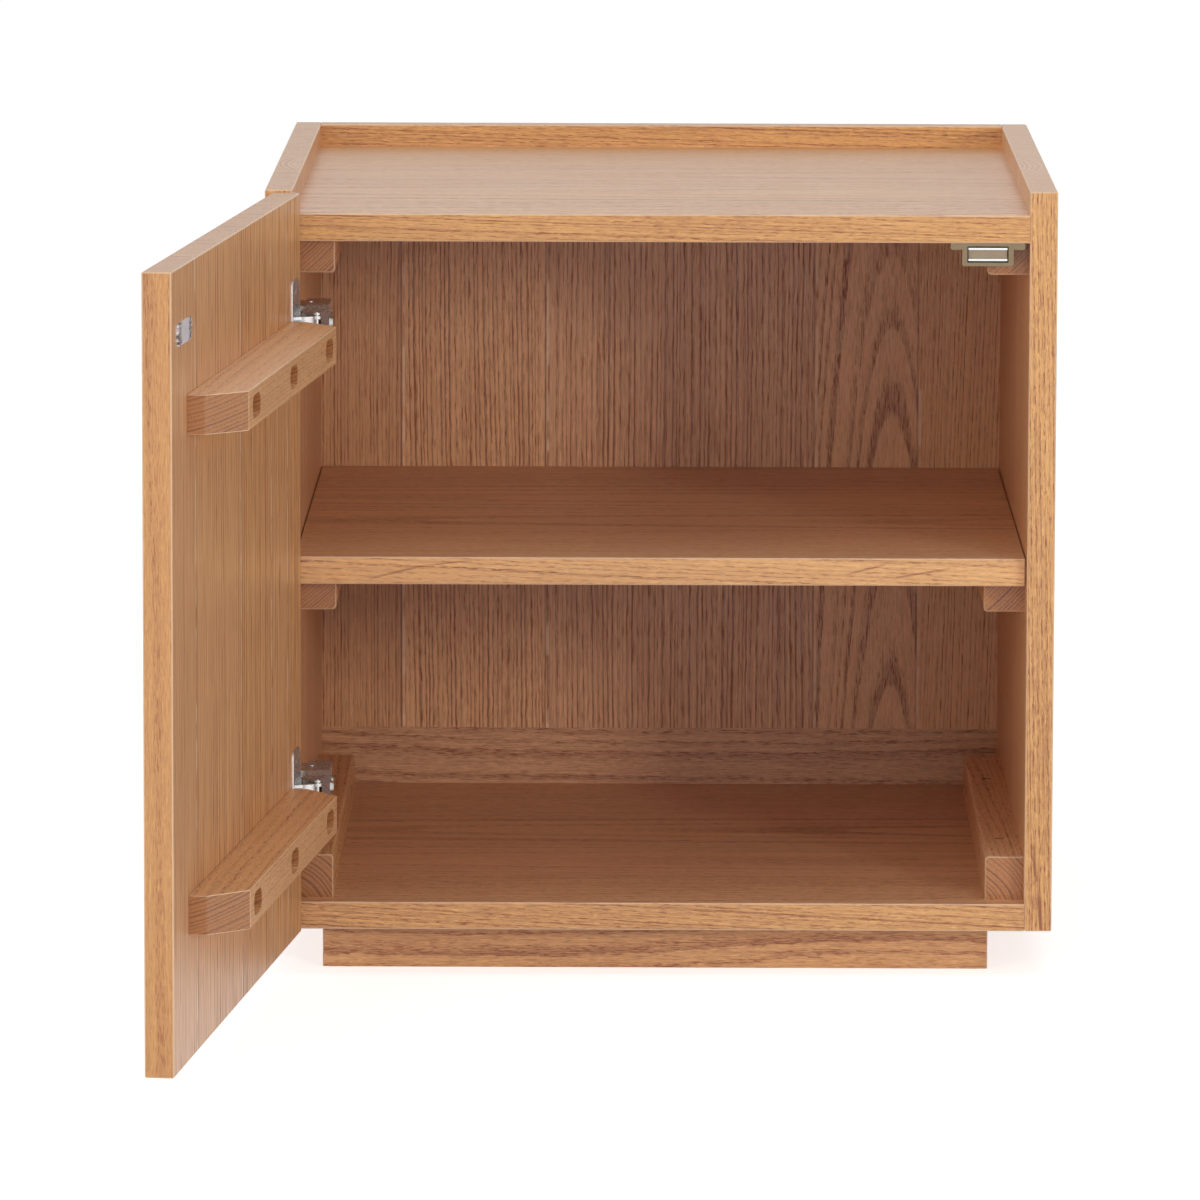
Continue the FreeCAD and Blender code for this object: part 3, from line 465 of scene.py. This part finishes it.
# Checks and streaks, with places in z and x for the shelf and in x and z for the side
MARKS = {
    "shelf": edge_marks(-32, ((254.5, -184), (262.8, -150), 1.1), ((262.8, -150), (266, -120), 0.8),
                        ((263, -245), (266, -222), 1.0), ((256, -246), (255, -226), 0.8),
                        ((258, 118), (264, 142), 1.0), ((256, 150), (262, 184), 0.9)),
    "side_right": edge_marks(-43.8, ((237, 86), (241, 58), 1.3), ((241, 58), (243.8, 28), 1.7),
                             ((238.4, 453), (238.6, 449), 1.6), ((239, 441), (240.5, 427), 0.7)),
}

for table in (WOOD, DOOR_WOOD):
    for node, (along, seed, staves) in table.items():
        dress(node, oak("oak_" + node, along, seed, staves, in_door=table is DOOR_WOOD,
                        marks=MARKS.get(node, ()), **SPECIAL.get(node, {})))


# Metal

# Painted highlight: white for metal faces that look forward
FRONT_HIGHLIGHT = linear(252, 252, 252)
HIGHLIGHT_FACING = (0.6, 0.9)  # how squarely a face looks forward before it gets the painted highlight
SCRATCHED, PLAIN_SCRATCHED = 0.55, 0.12  # brightness of the scratched colour, and its share in plain metal


def metal(name, colour, roughness, metallic=1.0, brush=(0.6, 0.6, 9.0), wear=0.18, spots=0.0,
          painted_front_highlight=False):
    """Plated or bare metal with faint drawing lines, whose size is the brush, and cloudy wear.

    With this set, faces that look forward are painted white and less metallic: a painted highlight.
    """
    material, n, shader = blank_material(name)
    place = n.add("ShaderNodeTexCoord").outputs
    point = n.vector("MULTIPLY", place["Object"], (MM_PER_M,) * 3)
    lines = n.grain(point, brush, detail=3.0, roughness=0.6)
    cloud = n.noise(point, scale=0.45, detail=3.0, roughness=0.6)
    grit = n.noise(point, scale=5.0, roughness=0.6)
    shade = n.total(n.product(n.centred(lines), wear), n.product(n.centred(cloud), wear),
                    n.product(n.ramp(grit, 0.6, 0.75), spots), PLAIN_SCRATCHED, clamp=True)
    base = n.mix(shade, linear(*colour), darker(linear(*colour), SCRATCHED))
    if painted_front_highlight:
        # Painted highlight: faces that look forward turn white
        ahead = n.ramp(n.vector("DOT_PRODUCT", place["Normal"], FRONT), *HIGHLIGHT_FACING)
        base = n.mix(ahead, base, FRONT_HIGHLIGHT)
        metallic = n.math("MULTIPLY_ADD", ahead, -0.5 * metallic, metallic)
    n.fill(shader, Base_Color=base, Metallic=metallic,
           Roughness=n.total(n.product(n.centred(cloud), 0.18), roughness),
           Normal=n.bump(strength=0.12, distance=0.0002, height=n.total(lines, n.product(grit, 0.4))))
    return material


STRIKE_Y = -500.0  # mm: the middle of the strike plate on the open door
STRIKE_BLOTCH_REACH = (11.0, 14.0)  # mm from the middle where the darker blotches begin and where they are full
# Near-white: the bright plating with a painted reflection of white surroundings; then the darker blotches'
# colour
STRIKE_REFLECTION, STRIKE_BLOTCH = linear(240, 241, 250), linear(88, 78, 76)
MOTTLE = (5, 5, 2.4)  # sizes in mm


def strike_finish():
    """Near-white plate, its bright plating with a painted reflection, and darker blotches towards its two
    ends.
    """
    material, n, shader = blank_material("strike_plate")
    point = n.vector("MULTIPLY", n.add("ShaderNodeTexCoord").outputs["Object"], (MM_PER_M,) * 3)
    from_middle = n.math("ABSOLUTE", n.math("SUBTRACT", n.parts(point)["Y"], STRIKE_Y))
    mottle = n.grain(point, MOTTLE, detail=3.0, roughness=0.7)
    blotches = n.product(n.ramp(from_middle, *STRIKE_BLOTCH_REACH), n.ramp(mottle, 0.44, 0.54))
    shade = n.total(n.product(blotches, 0.8), n.product(n.ramp(mottle, 0.5, 0.7), 0.2), clamp=True)
    n.fill(shader, Base_Color=n.mix(shade, STRIKE_REFLECTION, STRIKE_BLOTCH), Metallic=0.2,
           Roughness=n.math("MULTIPLY_ADD", mottle, 0.3, 0.2),
           Normal=n.bump(strength=0.3, distance=0.0003, height=mottle))
    return material


BY_SLOT = {
    "nickel_steel": metal("nickel_plate", (206, 202, 200), 0.28, metallic=0.72, wear=0.07, painted_front_highlight=True),
    "zinc_screw": metal("zinc_screw", (196, 196, 192), 0.34, spots=0.1),
    "galvanised": metal("galvanised_shell", (138, 120, 94), 0.45, metallic=0.6, brush=(7, 0.7, 0.7)),
    "bright_steel": metal("bright_poles", (226, 226, 226), 0.2, brush=(14, 0.5, 0.5)),
    "ferrite": metal("ferrite", (168, 148, 124), 0.6, metallic=0.1, wear=0.4, spots=0.4),
}
for subpart in frame["record"]["subparts"]:
    if subpart["material_slot"] in BY_SLOT:
        dress(subpart["node"], BY_SLOT[subpart["material_slot"]])
dress("strike_plate", strike_finish())


# Screws with cross recesses and threads, in the place of the plain solids

SCREW_SIDES = 20
SLACK = 0.0002  # m: corners this near a screw's lower end belong to its tip

# In radii of the head
CROSS_REACH, CROSS_HALF = 0.66, 0.15
RIM_RADIUS, RIM_DEPTH = 0.95, 0.08
NECK_BELOW = 0.9  # corners nearer the axis than this are of the neck or shank
RECESS_FLOOR = 0.5  # size of the recess's floor, in sizes of its mouth

# In radii of the shank, and the plain end in turns of the thread
THREAD_ROOT, THREAD_PITCH, TIP_RADIUS = 0.8, 0.9, 0.12
TIP_TURNS = 2.5


def solids_of(node):
    """The corner points of each separate solid in a CAD node, in metres."""
    work = bmesh.new()
    work.from_mesh(nodes[node].data)
    bmesh.ops.remove_doubles(work, verts=work.verts, dist=1e-6)
    seen, solids = set(), []
    for first in work.verts:
        if first in seen:
            continue
        seen.add(first)
        reached = [first]
        for vert in reached:
            for edge in vert.link_edges:
                other = edge.other_vert(vert)
                if other not in seen:
                    seen.add(other)
                    reached.append(other)
        solids.append([vert.co.copy() for vert in reached])
    work.free()
    return solids


def screw_sizes(points):
    """Head centre, outward direction, head radius, neck depth, shank radius and length of a plain screw."""
    middle = sum(points, Vector()) / len(points)
    spread = np.array([point - middle for point in points])
    axis = Vector(np.linalg.svd(spread)[2][0])
    heights = [(point - middle).dot(axis) for point in points]
    radii = [((point - middle) - axis * h).length for point, h in zip(points, heights)]
    if heights[radii.index(max(radii))] < 0:
        axis, heights = -axis, [-h for h in heights]
    top, low = max(heights), min(heights)
    head_radius = max(radii)
    shank_radius = max(r for h, r in zip(heights, radii) if h < low + SLACK)
    neck = min(top - h for h, r in zip(heights, radii) if r < head_radius * NECK_BELOW and h > low + SLACK)
    return middle + axis * top, axis, head_radius, neck, shank_radius, top - low


def ring_of(work, place, outline, depth):
    """A closed loop of corners at a depth below the head's face."""
    return [work.verts.new(place @ Vector((x, y, -depth))) for x, y in outline]


def skin(work, first, second):
    """Quads between two closed loops of corners."""
    for k in range(len(first)):
        j = (k + 1) % len(first)
        work.faces.new((first[k], first[j], second[j], second[k]))


def add_screw(work, points):
    """A screw with a cross recess and a thread, of the size and in the place of a plain one."""
    centre, outward, head_radius, neck, radius, length = screw_sizes(points)
    side = outward.orthogonal().normalized()
    place = Matrix((side, outward.cross(side), outward)).transposed().to_4x4()
    place.translation = centre
    circle = [(math.cos(math.tau * k / SCREW_SIDES), math.sin(math.tau * k / SCREW_SIDES))
              for k in range(SCREW_SIDES)]
    arm, half = CROSS_REACH * head_radius, CROSS_HALF * head_radius
    cross = []
    for k in range(4):
        turn = Matrix.Rotation(math.pi / 2 * k, 2)
        cross += [turn @ Vector(corner) for corner in ((arm, -half), (arm, half), (half, half))]

    crest, root = radius, THREAD_ROOT * radius
    pitch = THREAD_PITCH * radius
    profile = [(0.0, RIM_RADIUS * head_radius), (RIM_DEPTH * head_radius, head_radius), (neck, root)]
    depth = neck + pitch
    while depth < length - TIP_TURNS * pitch:
        profile += [(depth, crest), (depth + 0.5 * pitch, root)]
        depth += pitch
    profile.append((length, TIP_RADIUS * radius))
    rings = [ring_of(work, place, [(x * r, y * r) for x, y in circle], d) for d, r in profile]
    for upper, lower in zip(rings, rings[1:]):
        skin(work, upper, lower)
    work.faces.new(rings[-1])

    # The head's face is filled between its rim and the mouth of the recess
    recess = 0.55 * neck + 0.25 * head_radius
    mouth = ring_of(work, place, cross, 0.0)
    floor = ring_of(work, place, [point * RECESS_FLOOR for point in cross], recess)
    skin(work, floor, mouth)
    work.faces.new(floor)
    edges = [work.edges.get((loop[k - 1], loop[k])) or work.edges.new((loop[k - 1], loop[k]))
             for loop in (rings[0], mouth) for k in range(len(loop))]
    bmesh.ops.triangle_fill(work, use_beauty=True, edges=edges, normal=outward)


def add_object(name, data):
    obj = bpy.data.objects.new(name, data)
    bpy.context.scene.collection.objects.link(obj)
    return obj


def add_piece(name, work, material, body, slot_name, *replaced):
    """A finished piece from a bmesh, riding on a body and taking the given material. Its slot name is not
    used.
    """
    bmesh.ops.recalc_face_normals(work, faces=work.faces)
    mesh = bpy.data.meshes.new(name)
    work.to_mesh(mesh)
    work.free()
    mesh.materials.append(material)
    piece = add_object(name, mesh)
    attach(piece, body)
    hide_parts(*replaced)


node_bodies = {node: body for body, members in frame["record"]["behaviour"]["bodies"].items()
               for node in members}
for node in sorted(nodes):
    if node.endswith("_screws"):
        screws = bmesh.new()
        for solid in solids_of(node):
            add_screw(screws, solid)
        add_piece("detailed_" + node, screws, BY_SLOT["zinc_screw"], node_bodies[node], "zinc_screw", node)


# Floor, light and camera

WHITE = (1, 1, 1, 1)
FLOOR_TONES = ([0.86, 0.86, 0.86, 1.0], [0.88, 0.88, 0.88, 1.0])
FLOOR_REACH = 40.0
FLOOR_GLOW = (0.5, 1.8, 0.66, 0.72)  # distances in m from the middle, and the glow at each; the weaker glow near the middle is a painted shade
FILL = 0.34  # light from all around, while the camera sees white
AIM = Vector((0, 0.1, 0.3))  # where the lamps point

# The camera fitted to the straight edges in the photograph
CAMERA_PLACE = (-0.00249, -5.71484, 1.03105)
CAMERA_YAW, CAMERA_PITCH, CAMERA_ROLL = 0.359, -7.914, -0.151  # degrees
CAMERA_LENS, SENSOR_WIDTH = 270.99, 36.0  # mm


def add_floor():
    """White floor that takes the shadow, and looks white to the camera and in reflections. Its glow is
    weaker near the middle, a painted shade around the cabinet.
    """
    material, n, shader = blank_material("studio_floor")
    place = n.add("ShaderNodeTexCoord").outputs["Object"]
    # The glow is weaker near the middle: a painted shade on the floor around the cabinet
    glow = n.product(n.seen(), n.ramp(n.vector("LENGTH", place), *FLOOR_GLOW))
    n.fill(shader, Base_Color=n.mix(n.noise(place, scale=3.0), *FLOOR_TONES), Roughness=0.9,
           Specular_IOR_Level=0.0, Emission_Color=WHITE, Emission_Strength=glow)
    mesh = bpy.data.meshes.new("floor")
    corners = [(x * FLOOR_REACH, y * FLOOR_REACH, 0) for x, y in ((-1, -1), (1, -1), (1, 1), (-1, 1))]
    mesh.from_pydata(corners, [], [(0, 1, 2, 3)])
    mesh.materials.append(material)
    floor = add_object("floor", mesh)


def add_world():
    """White surroundings, of which only the fill lights things."""
    world = bpy.data.worlds.new("studio")
    bpy.context.scene.world = world
    world.use_nodes = True
    world.node_tree.nodes.clear()
    n = Nodes(world.node_tree)
    strength = n.math("MULTIPLY_ADD", n.seen(), 1.0 - FILL, FILL)
    background = n.add("ShaderNodeBackground", None, Color=WHITE, Strength=strength)
    output = n.add("ShaderNodeOutputWorld")
    n.tree.links.new(background.outputs[0], output.inputs[0])


def add_lamp(name, azimuth, elevation, distance, size, power, mirrored=False):
    """Square soft box, at an azimuth in degrees from the front towards the right."""
    lamp = bpy.data.lights.new(name, "AREA")
    lamp.shape = "SQUARE"
    lamp.size = size
    lamp.energy = power
    obj = add_object(name, lamp)
    a, e = math.radians(azimuth), math.radians(elevation)
    away = Vector((math.sin(a) * math.cos(e), -math.cos(a) * math.cos(e), math.sin(e)))
    obj.visible_glossy = mirrored
    obj.location = AIM + away * distance
    obj.rotation_euler = away.to_track_quat("Z", "Y").to_euler()


def add_camera():
    turn = (Matrix.Rotation(math.radians(CAMERA_YAW), 3, "Z")
            @ Matrix.Rotation(math.radians(CAMERA_PITCH), 3, "X")
            @ Matrix.Rotation(math.radians(CAMERA_ROLL), 3, "Y"))
    right, ahead, up = turn.col
    camera = bpy.data.cameras.new("camera")
    camera.sensor_width = SENSOR_WIDTH
    camera.sensor_fit = "HORIZONTAL"
    camera.lens = CAMERA_LENS
    camera.clip_end = 100.0
    obj = add_object("camera", camera)
    pose = Matrix((right, up, -ahead)).transposed().to_4x4()
    pose.translation = CAMERA_PLACE
    obj.matrix_world = pose
    bpy.context.scene.camera = obj


add_floor()
add_world()
add_lamp("key", azimuth=30, elevation=10, distance=4.0, size=0.45, power=32)
add_lamp("front", azimuth=0, elevation=20, distance=8.0, size=5.2, power=92, mirrored=True)
add_lamp("left", azimuth=-38, elevation=10, distance=4.0, size=1.6, power=32)
add_lamp("top", azimuth=0, elevation=75, distance=3.0, size=2.4, power=15)
add_camera()
bpy.context.scene.view_settings.view_transform = "Standard"
